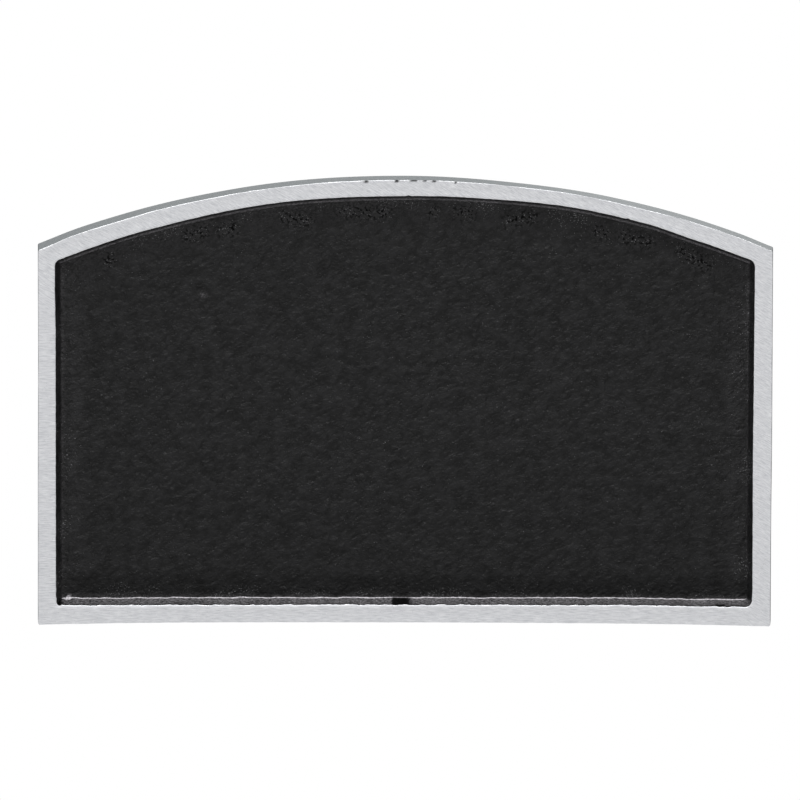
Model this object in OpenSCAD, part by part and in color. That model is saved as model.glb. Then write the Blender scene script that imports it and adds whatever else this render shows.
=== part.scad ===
// Arched wall plaque, sand cast in one piece: a flat back, a raised rim and a sunk panel.
// It is drawn lying on its back, then stood up: the front faces -Y, +Z is up, the back is on y = 0.
// The origin is on the back face, midway between the two stud holes.

/* [Plaque] */
// Width, across the back
plaque_w = 229; // [180:0.5:400]
// Height from the bottom corners to the crown, across the back
plaque_h = 140.5; // [110:0.5:260]
// Thickness from the back to the face of the rim
plaque_t = 9; // [7:0.1:16]
// Radius of the arched top edge, at the back
crown_r = 308; // [240:1:1200]
// Draft of the cast sides and top, in degrees
edge_draft = 2; // [0:0.5:6]
// Rise of the ground bottom edge at its middle
bottom_hollow = 1; // [0:0.1:3]

/* [Rim and panel] */
// Width of the rim's face along the sides
rim_side = 5.6; // [3:0.1:20]
// Width of the rim's face along the arched top
rim_top = 5; // [3:0.1:20]
// Width of the rim's face along the bottom, at the corners
rim_bottom = 6.4; // [4:0.1:20]
// Depth of the panel below the rim's face
panel_depth = 3.5; // [1:0.1:4.5]
// Draft of the wall round the panel, in degrees
wall_draft = 26; // [5:1:30]
// Radius of the fillet between the panel and its wall
root_r = 0.5; // [0.3:0.1:2]
// Radius of the panel's corners, at the rim's face
corner_r = 2.6; // [2.5:0.1:10]

/* [Stud holes] */
// Distance from the side edge to a stud hole, across the back
stud_inset = 39.5; // [20:0.5:70]
// Height of the stud holes above the bottom corners
stud_height = 70; // [30:0.5:90]
// Diameter of a stud hole before it is tapped
stud_d = 3.3; // [2.5:0.1:5]
// Angle of the drill's point
drill_point = 118; // [100:1:140]
// Metal left between the drill's point and the panel
stud_skin = 0.7; // [0.3:0.1:1.2]

/* [Hidden] */
// Circle segments: an arch as long as this one, and everything else
arch_fn = 720;
small_fn = 96;
// Straight pieces along the hollow bottom edge, on each side of its middle
hollow_steps = 12;
// How far a cutting shape runs past the face that it cuts
over = 1;
// How far an arc bites past the two faces that it joins, so that it meets them in a clean edge
arc_bite = 0.02;

half_w = plaque_w / 2;
edge_run = plaque_t * tan(edge_draft);
// Heights are measured from the bottom corners, and the arch is drawn about its own centre
crown_centre = plaque_h - crown_r;
web = plaque_t - panel_depth;

// Distances from the middle, or from the arch's centre, to the foot of the panel's opening at the face
panel_half_w = half_w - edge_run - rim_side;
panel_arch_r = crown_r - edge_run - rim_top;

wall_run = panel_depth * tan(wall_draft);
// The fillet is as large as the corners' arcs leave room for
root_tangent = min(root_r * tan((90 - wall_draft) / 2), 0.9 * (corner_r - wall_run));
root = root_tangent / tan((90 - wall_draft) / 2);

corner_reach = corner_r - arc_bite;
corner_x = panel_half_w - corner_reach;
low_corner_y = rim_bottom + corner_reach;
high_corner_y = crown_centre + sqrt(pow(panel_arch_r - corner_reach, 2) - pow(corner_x, 2));
// Direction from the arch's centre to an upper corner, in degrees from +X
high_corner_angle = atan2(high_corner_y - crown_centre, corner_x);

point_h = stud_d / 2 / tan(drill_point / 2);
bore_depth = web - stud_skin - point_h;
stud_x = half_w - stud_inset;

function bottom_edge(u) = [u * half_w, bottom_hollow * (1 - pow(abs(u), 3))];

// Everything on the near side of a drafted wall at distance reach, above the panel's level.
// The section lies in X and Z, and runs back to x = -behind.
module wall_section(reach, behind) {
    foot = reach - wall_run;
    lip = reach + over * tan(wall_draft);
    difference() {
        polygon([[-behind, web], [foot, web], [lip, plaque_t + over], [-behind, plaque_t + over]]);
        translate([foot, web]) root_fillet();
    }
}

// The metal that a fillet leaves in the angle between the panel and its wall
module root_fillet() {
    difference() {
        polygon([
            [-root_tangent, -over],
            [over, -over],
            [root_tangent * sin(wall_draft), root_tangent * cos(wall_draft)],
            [-root_tangent, root]
        ]);
        translate([-root_tangent, root]) circle(r = root + arc_bite, $fn = small_fn);
    }
}

// A straight stretch of the wall, at distance reach in the direction of angle
module straight_wall(reach, angle) {
    rotate([0, 0, angle])
        rotate([90, 0, 0])
            linear_extrude(height = 4 * plaque_w, center = true)
                wall_section(reach, 2 * plaque_w);
}

// A round stretch of the wall, of radius reach about the origin
module round_wall(reach, fn) {
    rotate_extrude($fn = fn) wall_section(reach, 0);
}

// What a corner's arc leaves standing between two walls, one facing +X and one facing angle
module corner_fill(angle) {
    wall_x = [2 * corner_r, 0];
    wall_a = 2 * corner_r * [cos(angle), sin(angle)];
    difference() {
        linear_extrude(height = plaque_t + 2 * over)
            polygon([[0, 0], wall_x, wall_x + wall_a, wall_a]);
        round_wall(corner_r, small_fn);
    }
}

// The space over the panel, inside the rim
module panel_recess() {
    difference() {
        intersection() {
            translate([0, rim_bottom, 0]) straight_wall(0, -90);
            straight_wall(panel_half_w, 0);
            straight_wall(panel_half_w, 180);
            translate([0, crown_centre, 0]) round_wall(panel_arch_r, arch_fn);
        }
        for (side = [0, 1]) mirror([side, 0, 0]) {
            translate([corner_x, low_corner_y, 0]) corner_fill(-90);
            translate([corner_x, high_corner_y, 0]) corner_fill(high_corner_angle);
        }
    }
}

// The outside: drafted sides and arched top, and a bottom edge that is ground square and hollow
module blank() {
    intersection() {
        rotate([90, 0, 0])
            linear_extrude(height = 4 * plaque_h, center = true)
                polygon([
                    [-half_w, 0],
                    [half_w, 0],
                    [half_w - edge_run, plaque_t],
                    [edge_run - half_w, plaque_t]
                ]);
        translate([0, crown_centre, 0])
            cylinder(h = plaque_t, r1 = crown_r, r2 = crown_r - edge_run, $fn = arch_fn);
        linear_extrude(height = plaque_t)
            polygon(concat(
                [for (i = [-hollow_steps : hollow_steps]) bottom_edge(i / hollow_steps)],
                [[half_w, plaque_h + over], [-half_w, plaque_h + over]]
            ));
    }
}

// A blind hole up from the back, with the cone that the drill's point leaves
module stud_hole() {
    translate([0, 0, -over]) cylinder(h = over + bore_depth, d = stud_d, $fn = small_fn);
    translate([0, 0, bore_depth]) cylinder(h = point_h, d1 = stud_d, d2 = 0, $fn = small_fn);
}

module plaque() {
    color([0.8, 0.81, 0.82])
        rotate([90, 0, 0])
            translate([0, -stud_height, 0])
                difference() {
                    blank();
                    panel_recess();
                    for (side = [-1, 1])
                        translate([side * stud_x, stud_height, 0]) stud_hole();
                }
}

plaque();
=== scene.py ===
import math

import bmesh
import bpy
import numpy as np
from mathutils import Matrix, Vector
from mathutils.geometry import delaunay_2d_cdt

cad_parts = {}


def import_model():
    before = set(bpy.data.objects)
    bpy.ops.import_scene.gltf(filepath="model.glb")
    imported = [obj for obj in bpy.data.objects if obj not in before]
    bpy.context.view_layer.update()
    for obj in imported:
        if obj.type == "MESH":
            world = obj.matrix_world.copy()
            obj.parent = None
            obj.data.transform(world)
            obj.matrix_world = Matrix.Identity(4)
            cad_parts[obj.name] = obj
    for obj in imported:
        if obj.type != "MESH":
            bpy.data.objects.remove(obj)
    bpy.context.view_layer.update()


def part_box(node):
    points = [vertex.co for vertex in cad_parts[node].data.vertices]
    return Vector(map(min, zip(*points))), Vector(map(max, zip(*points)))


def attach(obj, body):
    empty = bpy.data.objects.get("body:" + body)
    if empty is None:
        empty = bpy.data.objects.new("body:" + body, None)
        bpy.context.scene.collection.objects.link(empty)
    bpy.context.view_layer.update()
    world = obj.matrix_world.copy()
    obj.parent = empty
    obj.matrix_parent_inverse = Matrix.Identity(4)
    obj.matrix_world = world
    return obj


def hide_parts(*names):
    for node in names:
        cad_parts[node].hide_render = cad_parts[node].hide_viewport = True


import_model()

# An arched wall sign, sand cast in aluminium: a sanded rim round a sunk panel in black enamel.
# Sizes are in millimetres. A place on the front is given by x and by its height above the bottom
# corners, and a depth is measured forward from the back.

MM = 0.001
low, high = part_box("plaque")
HALF_WIDTH = high[0] / MM
THICKNESS = -low[1] / MM
ORIGIN_HEIGHT = -low[2] / MM
CROWN_HEIGHT = high[2] / MM + ORIGIN_HEIGHT

# The same form as the solid
CROWN_RADIUS = 308
EDGE_DRAFT = math.radians(2)
BOTTOM_HOLLOW = 1
RIM_SIDE = 5.6
RIM_TOP = 5
RIM_BOTTOM = 6.4
PANEL_DEPTH = 3.5
WALL_DRAFT = math.radians(26)
ROOT_RADIUS = 0.5
STUD_INSET = 39.5
STUD_RADIUS = 1.65
STUD_DEPTH = 3.81
STUD_POINT = 0.99

# What casting and grinding leave of its edges
OUTER_CORNER = 0.6
INNER_CORNERS = {"low left": 1.3, "low right": 2.4, "high right": 2.4, "high left": 2.2}
FRONT_BEVEL = 0.1
INNER_BEVEL = 0.14
LIP_ROUNDING = 0.45
BACK_BEVEL = 0.35
EDGE_WEAR = 0.035
FACE_DIP = 0.02
LIP_LOWERED = 0.085
NICK_DEPTH = 0.25
WALL_UNEVENNESS = 0.05
LOW_WALL_UNEVENNESS = 0.15

# How far the sand mould and the grinding wheel have strayed from the true outline, as marks of
# (x, rise): the arched top, the top of the rim's face, and the top of the panel's opening
ARCH_STRAYS = [
    (-113, 0.3), (-102, 0.55), (-88, 0.45), (-50, 0.2), (0, -0.2), (31, -0.4), (64, 0), (88, 0.1),
    (104, 0), (113, -0.25),
]
FACE_STRAYS = [
    (-113, -0.75), (-104, -0.5), (-88, -0.53), (-76, -0.3), (-41, -0.15), (-20, 0), (48, 0.2),
    (72, -0.12), (95, 0.03), (113, 0.05),
]
OPENING_STRAYS = [
    (-106, -0.68), (-80, -0.27), (-42, 0.18), (-5, -0.25), (20, 0), (56, 0.85), (74, 0.7),
    (92, -0.15), (106, -0.3),
]
OPENING_FOOT_STRAYS = [(-106, -0.25), (-60, 0.05), (10, 0.2), (60, 0.25), (106, -0.2)]

# The same for the sides, as marks of (height, shift to the right): the outside and the panel's
# opening, each on the left and on the right
LEFT_STRAYS = [(0, 0), (40, 0.05), (85, 0.2), (110, 0.15)]
RIGHT_STRAYS = [(0, -0.15), (30, -0.15), (60, 0), (110, 0)]
OPENING_LEFT_STRAYS = [(0, 0), (90, 0), (108, -0.2)]
OPENING_RIGHT_STRAYS = [(0, -0.2), (55, -0.25), (80, -0.08), (110, 0.05)]

# Black stretches of the lower wall, as (middle, half of the length, where the black starts on the
# way up from the panel, out of 1)
BLACK_LEDGES = [(-1.2, 3.2, -0.03), (98.6, 1.9, 0.55), (-108, 1.5, 0)]

# Chips in the rim's top edge, nicks in the upper edge of the panel's opening and clusters of gas
# pits a little below that edge, as (middle, half of the length)
CHIPS = [(-12.2, 0.7), (-2.5, 0.8), (2.8, 1.3), (6.3, 0.6), (8.8, 0.7), (15.8, 0.5)]
NICKS = [(1.0, 0.9), (69.2, 0.8)]
PIT_CLUSTERS = [
    (-92, 2), (-65, 4.5), (-55, 3.5), (-34, 6), (-13, 9), (9, 2), (18, 4), (36, 6), (61, 3),
    (72, 6), (90, 6),
]

# A heap of grit in the low left corner, as (x, height, reach), and a scar in the panel, as
# (x, height)
HEAP = (-104.8, 7.5, 1.1)
SCAR = (-63.6, 104.4)

# Points along each stretch of an outline, down the fillet and round a stud hole, steps across the
# rim's face, and the spacing of the points that fill the panel and the back
POINTS = {"bottom": 340, "side": 150, "arch": 400, "corner": 10}
FILLET_POINTS = 7
HOLE_POINTS = 32
FACE_STEPS = 7
PANEL_SPACING = 0.8
BACK_SPACING = 4.0

# Loops of points at the outer edge of the rim's face, as distances in from its bevel
FACE_EDGE_LOOPS = (0, 0.25, 0.4)

# Edges that turn by more than this stay sharp
SHARP = math.radians(60)

PANEL_LEVEL = THICKNESS - PANEL_DEPTH
CROWN_CENTRE = CROWN_HEIGHT - CROWN_RADIUS
EDGE_RUN = THICKNESS * math.tan(EDGE_DRAFT)
STUD_X = HALF_WIDTH - STUD_INSET

SANDED, ENAMEL, EDGE, BACK = range(4)


def place(x, height, depth):
    """Points in the row frame, in metres."""
    return np.stack([x * MM, -depth * MM, (height - ORIGIN_HEIGHT) * MM], axis=-1)


def ripple(x, y, wavelength, seed):
    """Smooth unevenness between about -1 and 1, made of a few crossing waves."""
    total = 0.0
    for i in range(6):
        angle = 2.4 * i + 1.7 * seed
        pitch = wavelength * (0.7 + 0.17 * i)
        along = x * math.cos(angle) + y * math.sin(angle)
        total = total + np.sin(2 * math.pi * along / pitch + 3.1 * i + seed)
    return total / 3


def smooth_step(value, start, end):
    """From 0 at the start to 1 at the end, level at both."""
    t = np.clip((value - start) / (end - start), 0, 1)
    return t * t * (3 - 2 * t)


def strays(x, marks):
    """The rise at x, eased from each mark to the next."""
    at, rise = np.array(marks).T
    i = np.clip(np.searchsorted(at, x) - 1, 0, len(at) - 2)
    return rise[i] + (rise[i + 1] - rise[i]) * smooth_step(x, at[i], at[i + 1])


def arch_strays(x, y, depth):
    """How far the outside has strayed upward."""
    forward = depth / THICKNESS
    rise = strays(x, ARCH_STRAYS) + forward * strays(x, FACE_STRAYS)
    return rise * smooth_step(y, 80, 110)


def opening_strays(x, y):
    """How far the panel's opening has strayed upward."""
    low = strays(x, OPENING_FOOT_STRAYS) * (1 - smooth_step(y, 12, 40))
    return low + strays(x, OPENING_STRAYS) * smooth_step(y, 80, 108)


def side_strays(x, y, left_marks, right_marks):
    """How far the sides have strayed to the right."""
    left = strays(y, left_marks) * smooth_step(-x, 60, 100)
    return left + strays(y, right_marks) * smooth_step(x, 60, 100)


# Outlines


def arc(centre, radius, start, end, count):
    angles = np.linspace(start, end, count, endpoint=False)
    return centre[0] + radius * np.cos(angles), centre[1] + radius * np.sin(angles)


def outline(half_width, bottom, arch_radius, corners):
    """An arched outline, anticlockwise from the middle of its low left corner.
    Every outline has the same number of points, so that two of them can be joined."""
    xs, ys = [], []

    def extend(points):
        xs.append(points[0])
        ys.append(points[1])

    def corner_point(name):
        radius = corners[name]
        side = -1 if "left" in name else 1
        x = half_width - radius
        if "low" in name:
            return (side * x, bottom + radius), radius, math.pi / 2
        y = CROWN_CENTRE + math.sqrt((arch_radius - radius) ** 2 - x * x)
        return (side * x, y), radius, math.atan2(y - CROWN_CENTRE, x)

    def line(start, end, count):
        t = np.arange(count) / count
        extend((start[0] + (end[0] - start[0]) * t, start[1] + (end[1] - start[1]) * t))

    (left, low_y), radius_a, _ = corner_point("low left")
    (right, low_y2), radius_b, _ = corner_point("low right")
    (right2, high_y), radius_c, turn_c = corner_point("high right")
    (left2, high_y2), radius_d, turn_d = corner_point("high left")
    count = POINTS["corner"]
    extend(arc((left, low_y), radius_a, math.pi, 1.5 * math.pi, count))
    line((left, bottom), (right, bottom), POINTS["bottom"])
    extend(arc((right, low_y2), radius_b, -math.pi / 2, 0, count))
    line((half_width, low_y2), (half_width, high_y), POINTS["side"])
    extend(arc((right2, high_y), radius_c, 0, turn_c, count))
    extend(arc((0, CROWN_CENTRE), arch_radius, turn_c, math.pi - turn_d, POINTS["arch"]))
    extend(arc((left2, high_y2), radius_d, math.pi - turn_d, math.pi, count))
    line((-half_width, high_y2), (-half_width, low_y), POINTS["side"])
    return np.concatenate(xs), np.concatenate(ys)


def outer_outline(depth, inset):
    """The outside at a depth, moved in by inset, with the hollow of its bottom edge."""
    drafted = depth * math.tan(EDGE_DRAFT) + inset
    radius = max(OUTER_CORNER - 0.5 * inset, 0.2)
    corners = dict.fromkeys(INNER_CORNERS, radius)
    x, y = outline(HALF_WIDTH - drafted, inset, CROWN_RADIUS - drafted, corners)
    hollow = BOTTOM_HOLLOW * (1 - np.abs(x / HALF_WIDTH) ** 3)
    lean = side_strays(x, y, LEFT_STRAYS, RIGHT_STRAYS)
    return x + lean, y + hollow * (1 - smooth_step(y, 0, 6)) + arch_strays(x, y, depth)


def inner_outline(inset):
    """The panel's opening at the rim's face, moved in by inset."""
    corners = {name: max(radius - inset, 0.15) for name, radius in INNER_CORNERS.items()}
    x, y = outline(
        HALF_WIDTH - EDGE_RUN - RIM_SIDE - inset,
        RIM_BOTTOM + inset,
        CROWN_RADIUS - EDGE_RUN - RIM_TOP - inset,
        corners,
    )
    lean = side_strays(x, y, OPENING_LEFT_STRAYS, OPENING_RIGHT_STRAYS)
    return x + lean, y + opening_strays(x, y)


def from_arch(x, y):
    """Distance down from the top of the panel's opening, at the rim's face."""
    return CROWN_RADIUS - EDGE_RUN - RIM_TOP - np.hypot(x, y - CROWN_CENTRE)


def from_side(x):
    """Distance in from the nearer side of the panel's opening, at the rim's face."""
    return HALF_WIDTH - EDGE_RUN - RIM_SIDE - np.abs(x)


# Marks of casting, sanding and weather, and of painted light and shade, as an amount at each
# point: none at 0 and full at 1


def hump(distance, reach):
    """1 at a distance of 0, and fading on both sides over about the reach."""
    return np.exp(-((distance / reach) ** 2))


def fading(distance, reach):
    """1 up to a distance of 0, and fading beyond it over about the reach."""
    return hump(np.maximum(distance, 0), reach)


def stretches(x, marks, full, out=1.0):
    """1 on each stretch of the marks, falling to 0 between two shares of its half length."""
    found = np.zeros_like(x)
    for middle, half in marks:
        found = np.maximum(found, 1 - smooth_step(np.abs(x - middle), full * half, out * half))
    return found


def blot(x, y, right, up):
    """A soft spot in the scar, set off from its middle."""
    return hump(np.hypot(x - SCAR[0] - right, 1.4 * (y - SCAR[1] - up)), 1.1)


def up_the_wall(depth):
    """From 0 at the panel to 1 at the rim's face."""
    return (depth - PANEL_LEVEL) / PANEL_DEPTH


def grit_and_rim_light(x, y, depth, upward):
    """Sanding grit clings along the foot of the rim, and thinly in patches over the panel. Near
    the rim's sides and arch the mark is also painted light, which lifts the panel against the
    rim's shadow.
    """
    patchy = 0.5 + 0.5 * ripple(x, y, 15, 11)
    by_rim = 0.9 * fading(np.minimum(from_side(x), from_arch(x, y)) - 1.5, 6)
    by_foot = fading(y - RIM_BOTTOM - 2.5, 4)
    thin = np.maximum(np.maximum(by_rim, by_foot), 0.15)
    return np.clip(np.maximum(thin * patchy, 0.8 * pits(x, y, depth, upward)), 0, 1)


def pits(x, y, depth, upward):
    """Gas pits lie in clusters a little below the arch."""
    below = 5.6 + 1.2 * ripple(x, 0, 23, 8)
    return hump(from_arch(x, y) - below, 2.7) * stretches(x, PIT_CLUSTERS, 0.6, 1.3)


def painted_light_and_heap(x, y, depth, upward):
    """Painted highlights and reflections on the walls, a heap of grit, and painted light on the
    panel with the scar's lighter spot.
    """
    on_walls = np.maximum(ledge_highlight_and_heap(x, y, depth, upward), wall_reflection(depth, upward))
    return np.maximum(on_walls, panel_light_and_scar(x, y) * (up_the_wall(depth) < 0.1))


def ledge_highlight_and_heap(x, y, depth, upward):
    """A painted highlight on the wall that faces up, strongest along its foot, and grit, past 1,
    in a heap.
    """
    foot = 1 - smooth_step(depth, PANEL_LEVEL + 0.1, PANEL_LEVEL + 0.24)
    below_face = 1 - smooth_step(depth, THICKNESS - 0.6, THICKNESS - 0.2)
    amount = 0.11 - 0.04 * up_the_wall(depth) + 0.88 * foot
    ledge = smooth_step(upward, 0.12, 0.4) * amount * below_face
    heap_x, heap_y, reach = HEAP
    heap = 1.6 * (1 - smooth_step(np.hypot(x - heap_x, y - heap_y), 0.4 * reach, reach))
    return np.maximum(ledge, heap * (depth < PANEL_LEVEL + 0.8))


def wall_reflection(depth, upward):
    """A painted reflection on the wall that faces down, brightest in a line near its foot."""
    reflected_line = 1 - smooth_step(np.abs(up_the_wall(depth) - 0.26), 0.08, 0.24)
    return smooth_step(-upward, 0.4, 0.8) * (0.05 + 0.13 * reflected_line)


def panel_light_and_scar(x, y):
    """Painted light on the panel: lighter under the arch and near each side against the rim's
    shadow, and painted highlights along the foot of the walls. It is lighter in the scar too."""
    lightening = 0.015 * fading(from_arch(x, y) - 2, 6) * (1 - 0.6 * smooth_step(x, 0, 50))
    lightening = lightening + 0.03 * fading(y - RIM_BOTTOM - 2, 0.7)
    lightening = lightening + 0.006 * hump(from_side(x) - 5, 4)
    lightening = lightening + 0.016 * ((from_side(x) > 1.4) & (from_side(x) < 2.1))
    return lightening + 0.08 * blot(x, y, 0.7, -1)


def shade_and_black_marks(x, y, depth, upward):
    """Painted shade along the walls and low on the panel, with black stretches of the lower wall,
    the chips in the rim's top edge and the dark of the scar.
    """
    up_wall = up_the_wall(depth)
    on_wall = (depth < THICKNESS - 0.1) & (up_wall > -0.05) & (from_arch(x, y) > -1)
    at_edge = (depth > THICKNESS - 0.2) & (from_arch(x, y) < -RIM_TOP + 0.7)
    darkened = wall_shade_and_black(x, up_wall, upward) * on_wall
    on_edges = np.maximum(darkened, stretches(x, CHIPS, 0.7) * at_edge)
    return np.maximum(on_edges, panel_shade_and_scar(x, y) * (np.abs(up_wall) < 0.1))


def wall_shade_and_black(x, up_wall, upward):
    """Painted shade along the lip and the foot of the wall that faces down, and black on stretches
    of the wall that faces up."""
    faces_down = smooth_step(-upward, 0.1, 0.4)
    faces_up = smooth_step(upward, 0.12, 0.4)
    lip = 0.85 * faces_down * smooth_step(up_wall, 0.55, 0.85)
    foot = 0.35 * faces_down * (1 - smooth_step(up_wall, 0, 0.08))
    darkened = np.maximum(lip, foot) * (from_side(x) > 0)
    for middle, half, start in BLACK_LEDGES:
        reached = smooth_step(up_wall, start - 0.05, start + 0.1) * faces_up
        darkened = np.maximum(darkened, stretches(x, [(middle, half)], 0.75) * reached)
    return darkened


def panel_shade_and_scar(x, y):
    """Painted shade: the panel is darker low down, most in a band above its foot. It is darker in
    the scar too.
    """
    above_foot = y - RIM_BOTTOM - 2
    band = smooth_step(above_foot, 0.7, 1.7) * (1 - smooth_step(above_foot, 4.5, 9))
    dark = 0.09 * (1 - smooth_step(y, 20, 70)) + 0.28 * band
    return np.maximum(dark, 0.7 * blot(x, y, -0.4, 1.1))


MARKS = {"grit_and_rim_light": grit_and_rim_light, "pits": pits, "painted_light_and_heap": painted_light_and_heap, "shade_and_black_marks": shade_and_black_marks}


# Meshes


class Shell:
    """Collects points and faces for one mesh."""

    def __init__(self):
        self.points = []
        self.faces = []
        self.finish = []
        self.count = 0

    def add_points(self, x, y, depth):
        depth = np.broadcast_to(depth, np.shape(x))
        self.points.append(np.stack([x, y, depth], axis=-1))
        first = self.count
        self.count += len(x)
        return np.arange(first, self.count)

    def add_faces(self, faces, finish):
        self.faces.extend(faces)
        self.finish.extend([finish] * len(faces))

    def bridge(self, a, b, finish):
        """Quads between two closed loops with as many points."""
        quads = np.stack([a, np.roll(a, -1), np.roll(b, -1), b], axis=-1)
        self.add_faces(quads.tolist(), finish)

    def build(self, name, materials):
        """Makes the mesh, with each of the MARKS as an attribute of its points."""
        mesh = bpy.data.meshes.new(name)
        points = np.concatenate(self.points)
        mesh.from_pydata(place(*points.T).tolist(), [], self.faces)
        mesh.materials.clear()
        for made in materials:
            mesh.materials.append(made)
        mesh.polygons.foreach_set("material_index", self.finish)
        turn_out(mesh)
        mesh.shade_smooth()
        mesh.set_sharp_from_angle(angle=SHARP)
        normals = np.zeros(3 * len(points))
        mesh.vertex_normals.foreach_get("vector", normals)
        for mark, amount in MARKS.items():
            values = amount(*points.T, normals[2::3])
            mesh.attributes.new(mark, "FLOAT", "POINT").data.foreach_set("value", values)
        piece = bpy.data.objects.new(name, mesh)
        bpy.context.collection.objects.link(piece)
        return piece


def turn_out(mesh):
    """Every face looks outward."""
    form = bmesh.new()
    form.from_mesh(mesh)
    bmesh.ops.recalc_face_normals(form, faces=form.faces)
    form.to_mesh(mesh)
    form.free()


def triangulate(x, y, edges):
    """Delaunay triangles inside the loops that the edges make, as rows of three point numbers.
    The loops' points come first, and the rest lie inside the outermost loop."""
    whole_hull = 0
    found = delaunay_2d_cdt(
        [Vector(p) for p in zip(x.tolist(), y.tolist())], edges, [], whole_hull, 1e-7, True
    )
    source = np.array([ids[0] for ids in found[3]])
    triangles = source[np.array(found[2])]
    doubtful = (triangles <= np.max(edges)).all(axis=1)
    middle_x = x[triangles[doubtful]].mean(axis=1)
    middle_y = y[triangles[doubtful]].mean(axis=1)
    kept = ~doubtful
    kept[doubtful] = within_loops(middle_x, middle_y, x, y, edges)
    return triangles[kept]


def within_loops(px, py, x, y, edges):
    """Whether a line to the right from each place crosses an odd number of edges."""
    a, b = np.array(edges).T
    px, py = px[:, None], py[:, None]
    spans = (y[a] > py) != (y[b] > py)
    rise = np.where(y[a] == y[b], 1, y[b] - y[a])
    meets = x[a] + (py - y[a]) * (x[b] - x[a]) / rise
    return (spans & (px < meets)).sum(axis=1) % 2 == 1


def loop_edges(first, count):
    return [(first + i, first + (i + 1) % count) for i in range(count)]


def fill_points(spacing, seed):
    """A staggered grid over the whole front, each point moved a little at random."""
    rng = np.random.default_rng(seed)
    columns = np.arange(-HALF_WIDTH, HALF_WIDTH, spacing)
    rows = np.arange(0, CROWN_HEIGHT, spacing * 0.87)
    x, y = np.meshgrid(columns, rows)
    x[1::2] += spacing / 2
    shake = 0.18 * spacing
    x = x + rng.uniform(-shake, shake, x.shape)
    y = y + rng.uniform(-shake, shake, y.shape)
    return x.ravel(), y.ravel()


# Casting


def root_fillet_profile(steps):
    """(inset, depth) from the wall to the panel, along the fillet at the wall's foot."""
    wall_run = PANEL_DEPTH * math.tan(WALL_DRAFT)
    tangent = ROOT_RADIUS * math.tan((math.pi / 2 - WALL_DRAFT) / 2)
    centre = (wall_run + tangent, PANEL_LEVEL + ROOT_RADIUS)
    angles = np.linspace(math.pi + WALL_DRAFT, 1.5 * math.pi, steps)
    return [
        (centre[0] + ROOT_RADIUS * math.cos(a), centre[1] + ROOT_RADIUS * math.sin(a))
        for a in angles
    ]


def add_back(shell, loop, x, y):
    """The flat back, with its two blind stud holes."""
    circle = np.linspace(0, 2 * math.pi, HOLE_POINTS, endpoint=False)
    hole_x, hole_y = STUD_RADIUS * np.cos(circle), STUD_RADIUS * np.sin(circle)
    numbers, all_x, all_y = [loop], [x], [y]
    edges = loop_edges(0, len(x))
    for side in (-1, 1):
        edges += loop_edges(sum(map(len, all_x)), HOLE_POINTS)
        rim_x, rim_y = side * STUD_X + hole_x, ORIGIN_HEIGHT + hole_y
        mouth = shell.add_points(rim_x, rim_y, 0)
        numbers.append(mouth)
        all_x.append(rim_x)
        all_y.append(rim_y)
        end = shell.add_points(rim_x, rim_y, STUD_DEPTH)
        tip = shell.add_points(
            np.array([side * STUD_X]), np.array([ORIGIN_HEIGHT]), STUD_DEPTH + STUD_POINT
        )[0]
        shell.bridge(end, mouth, BACK)
        shell.add_faces([(a, b, tip) for a, b in zip(end, np.roll(end, -1))], BACK)

    grid_x, grid_y = fill_points(BACK_SPACING, 3)
    from_hole = np.hypot(np.abs(grid_x) - STUD_X, grid_y - ORIGIN_HEIGHT) - STUD_RADIUS
    kept = within_outside(grid_x, grid_y, 1.5) & (from_hole > 1.5)
    numbers.append(shell.add_points(grid_x[kept], grid_y[kept], 0))
    all_x.append(grid_x[kept])
    all_y.append(grid_y[kept])
    numbers, all_x, all_y = (np.concatenate(part) for part in (numbers, all_x, all_y))
    shell.add_faces(numbers[triangulate(all_x, all_y, edges)].tolist(), BACK)


def within_outside(x, y, margin):
    """Which places on the back lie inside the outline by more than the margin."""
    hollow = BOTTOM_HOLLOW * (1 - np.abs(x / HALF_WIDTH) ** 3)
    return (
        (np.abs(x) < HALF_WIDTH - margin)
        & (y > hollow + margin)
        & (np.hypot(x, y - CROWN_CENTRE) < CROWN_RADIUS - margin)
    )


def within_panel(x, y, inset):
    """Which places lie inside the panel's opening by more than the inset."""
    y = y - opening_strays(x, y)
    return (
        (np.abs(x) < HALF_WIDTH - EDGE_RUN - RIM_SIDE - inset)
        & (y > RIM_BOTTOM + inset)
        & (np.hypot(x, y - CROWN_CENTRE) < CROWN_RADIUS - EDGE_RUN - RIM_TOP - inset)
    )


def panel_relief(x, y):
    """How far the panel stands above its true level: the sand's unevenness under the enamel."""
    return (
        0.05 * ripple(x, y, 34, 1)
        + 0.035 * ripple(x, y, 13, 2)
        + 0.016 * ripple(x, y, 5.5, 3)
    )


def push(x, y, distance):
    """Moves the points of an anticlockwise loop inward by a distance."""
    run_x = np.roll(x, -2) - np.roll(x, 2)
    run_y = np.roll(y, -2) - np.roll(y, 2)
    run = np.hypot(run_x, run_y)
    return x - distance * run_y / run, y + distance * run_x / run


def front_bevel_share(x, y):
    """How much of the rim's front bevel is left: it comes and goes, and fades to the right."""
    comes_and_goes = np.clip(0.75 + 0.5 * ripple(x, y, 11, 14), 0.2, 1)
    return comes_and_goes * (1 - 0.4 * smooth_step(x, -40, 60))


def lip_lowered(x, y):
    """How far sanding has lowered the lip above the lower wall: less and less to the right."""
    comes_and_goes = np.clip(0.65 + 0.6 * ripple(x, y, 13, 21), 0, 1)
    lowered = LIP_LOWERED * comes_and_goes * (1 - 0.6 * smooth_step(x, -20, 50))
    return lowered * (1 - smooth_step(y, 9, 14))


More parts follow.
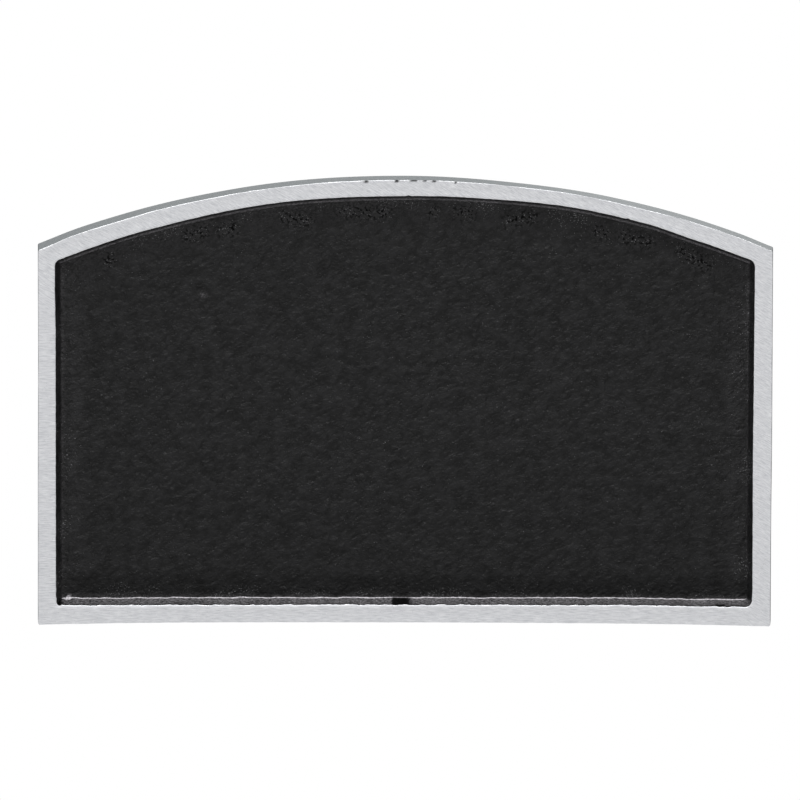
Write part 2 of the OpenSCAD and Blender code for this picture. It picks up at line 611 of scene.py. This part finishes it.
def outside_loops():
    """From the back, round the outside to the outer edge of the rim's face. A loop is given as
    (x, height, depth, finish), with the finish of the faces between it and the loop before."""
    bevel_start = THICKNESS - FRONT_BEVEL
    levels = [(0, BACK_BEVEL), (0.05, 0.12), (0.3, 0)]
    levels += [(depth, 0) for depth in np.linspace(1.2, THICKNESS - 0.6, 8)]
    levels += [(bevel_start, 0), (THICKNESS - 0.3 * FRONT_BEVEL, 0.3 * FRONT_BEVEL)]
    levels += [(THICKNESS, FRONT_BEVEL + further) for further in FACE_EDGE_LOOPS]
    loops = []
    for depth, inset in levels:
        finish = SANDED if depth > bevel_start else EDGE
        at_front = depth >= bevel_start
        x, y = outer_outline(depth, 0 if at_front else inset)
        worn = EDGE_WEAR * np.clip(1 + ripple(x, y, 9, 4), 0, 2) * smooth_step(depth, 7, 9)
        if at_front:
            share = front_bevel_share(x, y)
            worn = worn + inset * share
            depth = THICKNESS - (THICKNESS - depth) * share
        loops.append((*push(x, y, worn), depth, finish))
    return loops


def face_loops(outer_x, outer_y):
    """Across the rim's face, which sanding has left a little hollow."""
    inner_x, inner_y = inner_outline(-INNER_BEVEL - LIP_ROUNDING)
    loops = []
    for t in np.linspace(0, 1, FACE_STEPS + 1)[1:]:
        x = outer_x + (inner_x - outer_x) * t
        y = outer_y + (inner_y - outer_y) * t
        dip = FACE_DIP * np.clip(1 + ripple(x, y, 17, 6), 0, 2) * math.sin(math.pi * t)
        loops.append((x, y, THICKNESS - dip, SANDED))
    return loops


def wall_loops(fillet):
    """Over the lip and down the wall to the panel."""
    wall_top = THICKNESS - INNER_BEVEL
    wall_run, fillet_top = fillet[0]
    levels = [
        (-INNER_BEVEL, THICKNESS, SANDED),
        (-0.35 * INNER_BEVEL, THICKNESS - 0.3 * INNER_BEVEL, SANDED),
        (0, wall_top, ENAMEL),
    ]
    for t in (0.25, 0.5, 0.75):
        levels.append((wall_run * t, wall_top + (fillet_top - wall_top) * t, ENAMEL))
    levels += [(inset, depth, ENAMEL) for inset, depth in fillet]
    loops = []
    for inset, depth, finish in levels:
        x, y = inner_outline(inset)
        # The lower edge is the roughest, and its foot wanders apart from it
        down = smooth_step(inset, 0.3, 1.6)
        rough = WALL_UNEVENNESS + LOW_WALL_UNEVENNESS * (1 - smooth_step(y, 10, 14))
        lip = 0.6 * ripple(x, y, 5, 5) + 0.45 * ripple(x, y, 1.9, 12)
        foot = 0.5 * ripple(x, y, 7, 15) + 0.3 * ripple(x, y, 2.4, 16)
        nicked = stretches(x, NICKS, 0) * (y > 80)
        moved = rough * (lip + (foot - lip) * down) - NICK_DEPTH * nicked * (1 - down)
        lowered = lip_lowered(x, y) * (1 - smooth_step(inset, -INNER_BEVEL, 0.3))
        loops.append((*push(x, y, moved), depth - lowered, finish))
    return loops


def add_panel(shell, loop, x, y, edge_inset):
    """The panel, from the loop at the foot of its wall."""
    grid_x, grid_y = fill_points(PANEL_SPACING, 1)
    kept = within_panel(grid_x, grid_y, edge_inset + PANEL_SPACING)
    grid_x, grid_y = grid_x[kept], grid_y[kept]
    from_edge = np.minimum(
        np.minimum(from_side(grid_x), grid_y - RIM_BOTTOM), from_arch(grid_x, grid_y)
    )
    relief = panel_relief(grid_x, grid_y) * smooth_step(from_edge, edge_inset, edge_inset + 3)
    numbers = np.concatenate([loop, shell.add_points(grid_x, grid_y, PANEL_LEVEL + relief)])
    all_x, all_y = np.concatenate([x, grid_x]), np.concatenate([y, grid_y])
    shell.add_faces(numbers[triangulate(all_x, all_y, loop_edges(0, len(x)))].tolist(), ENAMEL)


def casting(materials):
    """The whole sign, as one closed surface."""
    shell = Shell()
    fillet = root_fillet_profile(FILLET_POINTS)
    outside = outside_loops()
    loops = outside + face_loops(*outside[-1][:2]) + wall_loops(fillet)
    rings = [shell.add_points(*loop[:3]) for loop in loops]
    for before, ring, loop in zip(rings, rings[1:], loops[1:]):
        shell.bridge(before, ring, loop[3])
    add_back(shell, rings[0], *loops[0][:2])
    add_panel(shell, rings[-1], *loops[-1][:2], fillet[-1][0])
    return shell.build("casting", materials)


# Materials


class Nodes:
    """A material's node tree, with a short way to add nodes."""

    def __init__(self, name):
        self.material = bpy.data.materials.new(name)
        self.material.use_nodes = True
        self.tree = self.material.node_tree
        self.shader = self.tree.nodes["Principled BSDF"]
        self.position = self.add("ShaderNodeTexCoord").outputs["Object"]

    def add(self, kind, inputs=None, **properties):
        node = self.tree.nodes.new(kind)
        for key, value in properties.items():
            setattr(node, key, value)
        for key, value in (inputs or {}).items():
            self.put(node.inputs[key], value)
        return node

    def put(self, socket, value):
        if isinstance(value, bpy.types.NodeSocket):
            self.tree.links.new(value, socket)
        else:
            socket.default_value = value

    def shade(self, **values):
        for key, value in values.items():
            self.put(self.shader.inputs[key.replace("_", " ")], value)

    def noise(self, pitch, detail=2.0, roughness=0.5, stretch=(1, 1, 1), turn=0.0):
        """Noise whose features are about pitch millimetres across, drawn out by stretch along
        axes that are turned clockwise, as seen from the front."""
        spaced = self.add(
            "ShaderNodeMapping",
            {"Vector": self.position, "Rotation": (0, turn, 0),
             "Scale": tuple(pitch * MM * s for s in stretch)},
            vector_type="TEXTURE",
        )
        return self.add(
            "ShaderNodeTexNoise",
            {"Vector": spaced.outputs[0], "Scale": 1.0, "Detail": detail,
             "Roughness": roughness},
        ).outputs["Fac"]

    def range(self, value, start, end, low=0.0, high=1.0):
        return self.add(
            "ShaderNodeMapRange",
            {"Value": value, "From Min": start, "From Max": end, "To Min": low, "To Max": high},
        ).outputs[0]

    def mix(self, factor, a, b):
        node = self.add("ShaderNodeMix", {"Factor": factor}, data_type="RGBA")
        self.put(node.inputs[6], (*a, 1) if isinstance(a, tuple) else a)
        self.put(node.inputs[7], (*b, 1) if isinstance(b, tuple) else b)
        return node.outputs[2]

    def maths(self, operation, a, b=0.0):
        return self.add("ShaderNodeMath", {0: a, 1: b}, operation=operation).outputs[0]

    def bump(self, height, distance, strength=1.0, normal=None):
        inputs = {"Height": height, "Distance": distance * MM, "Strength": strength}
        if normal is not None:
            inputs["Normal"] = normal
        return self.add("ShaderNodeBump", inputs).outputs[0]


# Colours, as linear red, green and blue
METAL_DARK = (0.625, 0.635, 0.66)
METAL_LIGHT = (0.905, 0.91, 0.93)
METAL_GLINT = (0.97, 0.97, 0.98)
METAL_DENT = (0.4, 0.4, 0.41)
METAL_SOOT = (0.02, 0.02, 0.02)
ENAMEL_DARK = (0.0012, 0.0012, 0.0013)
ENAMEL_LIGHT = (0.0082, 0.0082, 0.0087)
ENAMEL_SHADE_BLACK = (0.001, 0.001, 0.001)
GRIT_AND_RIM_LIGHT = (0.012, 0.012, 0.0124)
SPECK = (0.15, 0.15, 0.155)
HIGHLIGHT_AND_HEAP = (0.6, 0.575, 0.61)
EDGE_DARK = (0.105, 0.115, 0.12)
EDGE_LIGHT = (0.155, 0.17, 0.175)
EDGE_RIGHT_TONE = (0.24, 0.255, 0.26)
BACK_DARK = (0.30, 0.31, 0.32)
BACK_LIGHT = (0.48, 0.485, 0.49)
BACK_STAIN = (0.24, 0.245, 0.25)
FLOOR_DARK = (0.80, 0.80, 0.80)
FLOOR_LIGHT = (0.84, 0.84, 0.84)


def sanded_aluminium():
    """Scratched level along the bottom and low on the left, and at a slant elsewhere."""
    m = Nodes("sanded_aluminium")
    level = m.noise(0.28, 3, 0.65, (12, 1, 1))
    slanting = m.noise(0.28, 3, 0.65, (9, 1, 1), math.radians(28))
    apart = m.add("ShaderNodeSeparateXYZ", {"Vector": m.position})
    split = m.maths("MAXIMUM", m.range(apart.outputs["Z"], 22 * MM, 34 * MM),
                    m.range(apart.outputs["X"], 100 * MM, 108 * MM))
    scratches = m.mix(split, level, slanting)
    smear = m.noise(1.1, 3, 0.6, (3, 1, 1), math.radians(12))
    glint_and_dent = m.noise(0.4, 1)
    shade_and_black_marks = m.add("ShaderNodeAttribute", attribute_name="shade_and_black_marks").outputs["Fac"]
    tone = m.mix(m.range(scratches, 0.34, 0.66), METAL_DARK, METAL_LIGHT)
    tone = m.mix(m.range(smear, 0.4, 0.75, 0, 0.35), tone, METAL_DARK)
    # Painted glints on the scratches, and darker dents
    tone = m.mix(m.range(glint_and_dent, 0.7, 0.76, 0, 0.5), tone, METAL_GLINT)
    tone = m.mix(m.range(glint_and_dent, 0.3, 0.25, 0, 0.35), tone, METAL_DENT)
    tone = m.mix(shade_and_black_marks, tone, METAL_SOOT)
    m.shade(
        Base_Color=tone,
        Metallic=1.0,
        Roughness=m.range(scratches, 0.3, 0.7, 0.5, 0.38),
        Normal=m.bump(scratches, 0.03, 0.6),
    )
    return m.material


def black_enamel():
    """Leathery black enamel, with the marks of its grit, pits, heap and scar, and with painted
    light
    and shade: highlights, reflections and shade on its walls and panel, and shade in its pits.
    """
    m = Nodes("black_enamel")
    grit_and_rim_light, pits, painted_light_and_heap, shade_and_black_marks = (
        m.add("ShaderNodeAttribute", attribute_name=name).outputs["Fac"] for name in MARKS
    )
    leather = m.noise(2.2, 3, 0.62)
    drag = m.noise(1.5, 2, 0.6, (1.8, 1, 1), math.radians(-32))
    blotch = m.noise(5, 3, 0.6)
    grain = m.noise(0.3, 0)
    # Pits are painted near black, as painted shade in their hollows
    pit_shade = m.maths("MULTIPLY", m.range(m.noise(0.9, 1), 0.55, 0.6), pits)
    shade_and_black_amount = m.maths("MAXIMUM", pit_shade, shade_and_black_marks)
    speck = m.range(m.maths("ADD", grain, m.maths("MULTIPLY", grit_and_rim_light, 0.2)), 0.85, 0.92)
    mottle = m.range(m.maths("ADD", blotch, drag), 0.85, 1.15)
    tone = m.mix(mottle, ENAMEL_DARK, ENAMEL_LIGHT)
    # Lighter where grit lies, and painted light near the rim against its shadow
    tone = m.mix(m.maths("MULTIPLY", grit_and_rim_light, 0.5), tone, GRIT_AND_RIM_LIGHT)
    tone = m.mix(speck, tone, SPECK)
    # Painted highlights and reflections on the walls, painted light on the panel, the heap and the
    # scar
    streaks = m.range(m.noise(0.45, 3, 0.7, (2, 1, 1), math.radians(-20)), 0.4, 0.6, 0, 1.9)
    highlight_and_heap = m.maths("MAXIMUM", m.maths("MULTIPLY", painted_light_and_heap, streaks),
                   m.range(painted_light_and_heap, 0.3, 1, 0, 0.8))
    tone = m.mix(highlight_and_heap, tone, HIGHLIGHT_AND_HEAP)
    # Painted shade: near black along the walls' lip and foot, low on the panel and in the pits,
    # and on the black stretches and the scar
    tone = m.mix(shade_and_black_amount, tone, ENAMEL_SHADE_BLACK)
    surface = m.bump(leather, 1.0, 1.0)
    surface = m.bump(drag, 0.45, 1.0, surface)
    surface = m.bump(grain, 0.05, m.maths("MULTIPLY", grit_and_rim_light, 0.8), surface)
    m.shade(
        Base_Color=tone,
        Roughness=m.range(leather, 0.3, 0.7, 0.48, 0.58),
        Specular_IOR_Level=m.range(shade_and_black_amount, 0, 1, 0.24, 0.04),
        Normal=surface,
    )
    return m.material


def cast_edge():
    """Dark cast metal, lighter towards the right."""
    m = Nodes("cast_edge")
    grain = m.noise(0.5, 4, 0.65)
    tone = m.mix(m.range(grain, 0.3, 0.7), EDGE_DARK, EDGE_LIGHT)
    along = m.add("ShaderNodeSeparateXYZ", {"Vector": m.position}).outputs["X"]
    # Lighter towards the right
    ground = m.range(along, 20 * MM, 60 * MM, 0, 0.6)
    tone = m.mix(ground, tone, EDGE_RIGHT_TONE)
    m.shade(Base_Color=tone, Metallic=0.5, Roughness=0.55, Normal=m.bump(grain, 0.08, 0.6))
    return m.material


def cast_back():
    """Grey cast metal, stained in places."""
    m = Nodes("cast_back")
    grain = m.noise(0.7, 5, 0.7)
    stain = m.noise(25, 3)
    tone = m.mix(m.range(grain, 0.3, 0.7), BACK_DARK, BACK_LIGHT)
    tone = m.mix(m.range(stain, 0.45, 0.75, 0, 0.5), tone, BACK_STAIN)
    m.shade(Base_Color=tone, Metallic=0.7, Roughness=0.6, Normal=m.bump(grain, 0.15, 0.8))
    return m.material


# Light, floor and camera


def floor():
    """A pale floor below the sign, which the photograph's view doesn't reach."""
    size = 4.0
    drop = 1.2
    mesh = bpy.data.meshes.new("floor")
    corners = [(-size, -size, -drop), (size, -size, -drop), (size, size, -drop),
               (-size, size, -drop)]
    mesh.from_pydata(corners, [], [(0, 1, 2, 3)])
    ground = bpy.data.objects.new("floor", mesh)
    bpy.context.collection.objects.link(ground)
    m = Nodes("pale_floor")
    m.shade(Base_Color=m.mix(m.noise(40, 2), FLOOR_DARK, FLOOR_LIGHT), Roughness=0.9)
    mesh.materials.append(m.material)


def area_light(name, place_at, size, radiance):
    """A soft box that faces the object. A radiance of 1 is as bright as a white surface."""
    lamp = bpy.data.lights.new(name, "AREA")
    lamp.shape = "RECTANGLE"
    lamp.size, lamp.size_y = size
    lamp.energy = radiance * math.pi * size[0] * size[1]
    made = bpy.data.objects.new(name, lamp)
    made.location = place_at
    made.rotation_euler = (-Vector(place_at)).to_track_quat("-Z", "Y").to_euler()
    made.visible_camera = False
    bpy.context.collection.objects.link(made)


WORLD_FILL = 0.3


def world():
    """A plain white background for the camera, and a weaker fill for everything else."""
    made = bpy.data.worlds.new("studio")
    made.use_nodes = True
    tree = made.node_tree
    background = tree.nodes["Background"]
    path = tree.nodes.new("ShaderNodeLightPath")
    strength = tree.nodes.new("ShaderNodeMapRange")
    strength.inputs["To Min"].default_value = WORLD_FILL
    strength.inputs["To Max"].default_value = 1.0
    tree.links.new(path.outputs["Is Camera Ray"], strength.inputs["Value"])
    tree.links.new(strength.outputs[0], background.inputs["Strength"])
    background.inputs["Color"].default_value = (1, 1, 1, 1)
    bpy.context.scene.world = made


# The photograph's viewing angle: turned right and raised, in degrees, from straight on
YAW = 0.186
PITCH = 7.945
ROLL = 0.108
DISTANCE = 4.674
LENS = 674.8
# Where the origin falls in the photograph, in its pixels, and the pixels in the lens's length
ORIGIN_PIXEL = (404.92, 399.34)
IMAGE_MIDDLE = 400
FOCAL_PIXELS = 14995.5


def camera():
    """The photograph's camera, placed from where the origin falls in its picture."""
    yaw, pitch, roll = (math.radians(a) for a in (YAW, PITCH, ROLL))
    back = Vector((math.sin(yaw) * math.cos(pitch), -math.cos(yaw) * math.cos(pitch),
                   math.sin(pitch)))
    level = Vector((math.cos(yaw), math.sin(yaw), 0))
    upright = back.cross(level)
    right = level * math.cos(roll) + upright * math.sin(roll)
    up = upright * math.cos(roll) - level * math.sin(roll)
    metres = DISTANCE / FOCAL_PIXELS
    eye = (back * DISTANCE - right * (ORIGIN_PIXEL[0] - IMAGE_MIDDLE) * metres
           - up * (IMAGE_MIDDLE - ORIGIN_PIXEL[1]) * metres)
    data = bpy.data.cameras.new("camera")
    data.lens = LENS
    data.sensor_width = 36
    data.clip_start = 0.01
    data.clip_end = 100
    made = bpy.data.objects.new("camera", data)
    made.matrix_world = Matrix((
        (right.x, up.x, back.x, eye.x),
        (right.y, up.y, back.y, eye.y),
        (right.z, up.z, back.z, eye.z),
        (0, 0, 0, 1),
    ))
    bpy.context.collection.objects.link(made)
    bpy.context.scene.camera = made


# Soft boxes: place and size in metres, and radiance
SOFT_BOXES = {
    "overhead": ((0, -0.2, 2.3), (3.0, 3.2), 2.2),
    "overhead_strip": ((0, -0.85, 2.1), (3.0, 0.4), 10),
    "front": ((-0.6, -5.6, 1.5), (8.0, 4.2), 0.88),
    "behind": ((0, 3.2, 1.6), (4.0, 1.6), 1.2),
}

body = casting([sanded_aluminium(), black_enamel(), cast_edge(), cast_back()])
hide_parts("plaque")
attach(body, "root")

floor()
world()
for name, (place_at, size, radiance) in SOFT_BOXES.items():
    area_light(name, place_at, size, radiance)
bpy.context.scene.view_settings.view_transform = "Standard"
camera()
